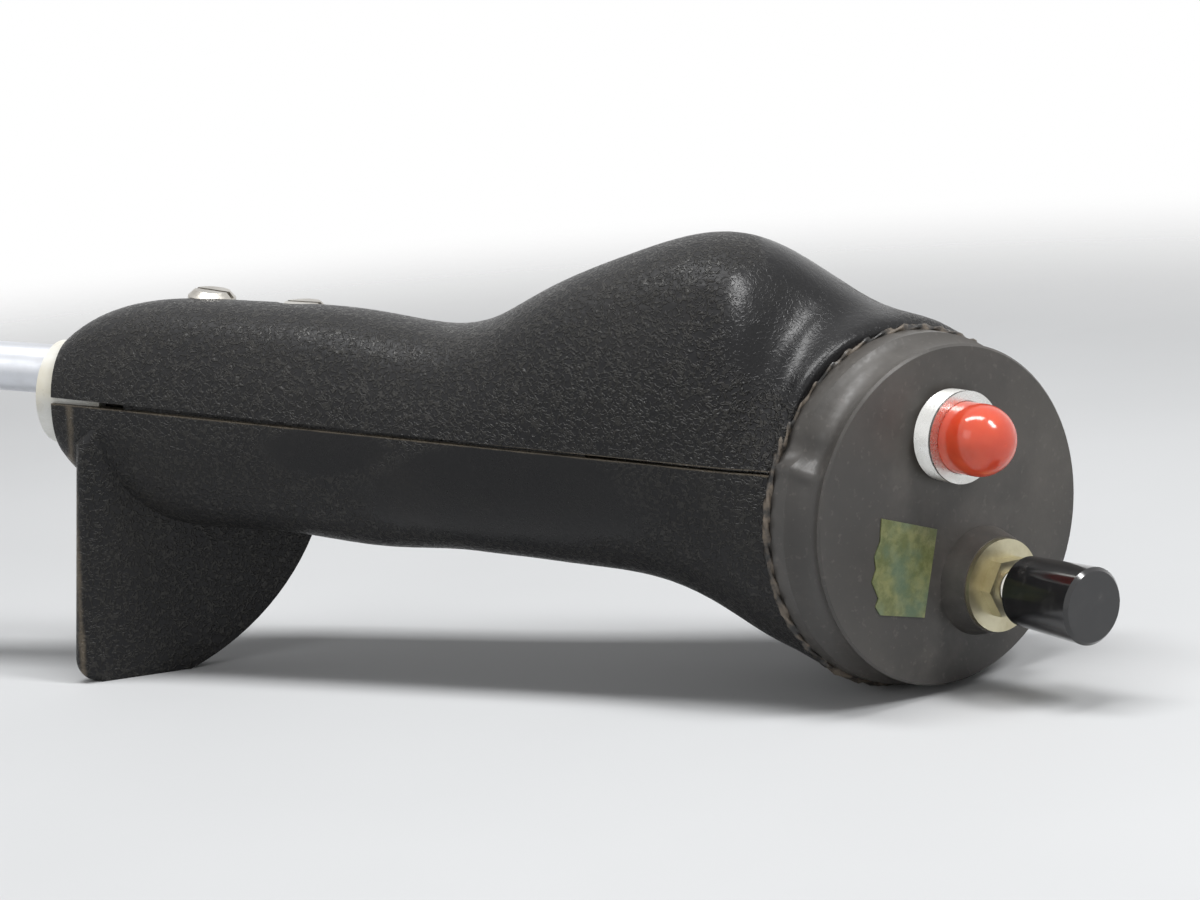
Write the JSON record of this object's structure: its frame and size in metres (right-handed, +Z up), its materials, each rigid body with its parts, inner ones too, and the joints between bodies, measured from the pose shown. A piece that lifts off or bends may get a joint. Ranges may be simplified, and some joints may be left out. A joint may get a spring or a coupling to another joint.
{
  "type": "aircraft control stick",
  "caption": "Hand-held aircraft control stick: two-piece grained grip with a thumb hump and hand rest on a light tube, a round head cap with a red and a black push button.",
  "frame": {"origin": "middle of the object's footprint on the surface that it lies on", "axes": "+Z up (the thumb side), +X from the tube towards the head, -Y towards the pilot; it lies on the hand rest and on the rim of the head"},
  "size_m": [0.33, 0.057, 0.0805],
  "materials": {
    "grip_plastic": "moulded leather grain, worn smooth in places",
    "cap_plastic": "satin dark grey",
    "white_plastic": "smooth white",
    "tube_metal": "light grey",
    "steel": "plain",
    "insert_brass": "plain",
    "barrel_metal": "turned",
    "red_plastic": "glossy",
    "zinc": "yellowish zinc",
    "nickel": "bright",
    "black_plastic": "glossy black",
    "switch_plastic": "brown moulding",
    "tape": "dirty olive tape"
  },
  "bodies": {
    "grip": {"left_shell": "grip_plastic", "right_shell": "grip_plastic", "head_cap": "cap_plastic", "collar_sleeve": "white_plastic", "stick_tube": "tube_metal", "tube_pin": "steel", "collar_screw": "steel", "handle_screw": "steel", "palm_screw": "steel", "screw_inserts": "insert_brass", "red_barrel": "barrel_metal", "red_lock_washer": "steel", "red_lock_nut": "insert_brass", "red_spring": "steel", "red_switch_body": "switch_plastic", "red_terminals": "insert_brass", "black_bushing": "nickel", "black_washer": "zinc", "black_nut": "zinc", "black_spring": "steel", "black_switch_body": "switch_plastic", "black_terminals": "insert_brass", "tape_patch": "tape"},
    "red_push": {"red_button": "red_plastic", "red_stem": "steel", "red_contact": "insert_brass"},
    "black_push": {"black_knob": "black_plastic", "black_stem": "steel", "black_contact": "insert_brass"}
  },
  "joints": [
    {"name": "red_press", "type": "slide", "parent": "grip", "child": "red_push", "axis": [-0.8177, 0.5755, 0.0136], "range_m": [0, 0.002], "stiffness_N_per_m": 1000, "springref_m": -0.001, "deforming": ["red_spring"]},
    {"name": "black_press", "type": "slide", "parent": "grip", "child": "black_push", "axis": [-0.8177, 0.5755, 0.0136], "range_m": [0, 0.0016], "stiffness_N_per_m": 1200, "springref_m": -0.001, "deforming": ["black_spring"]}
  ]
}
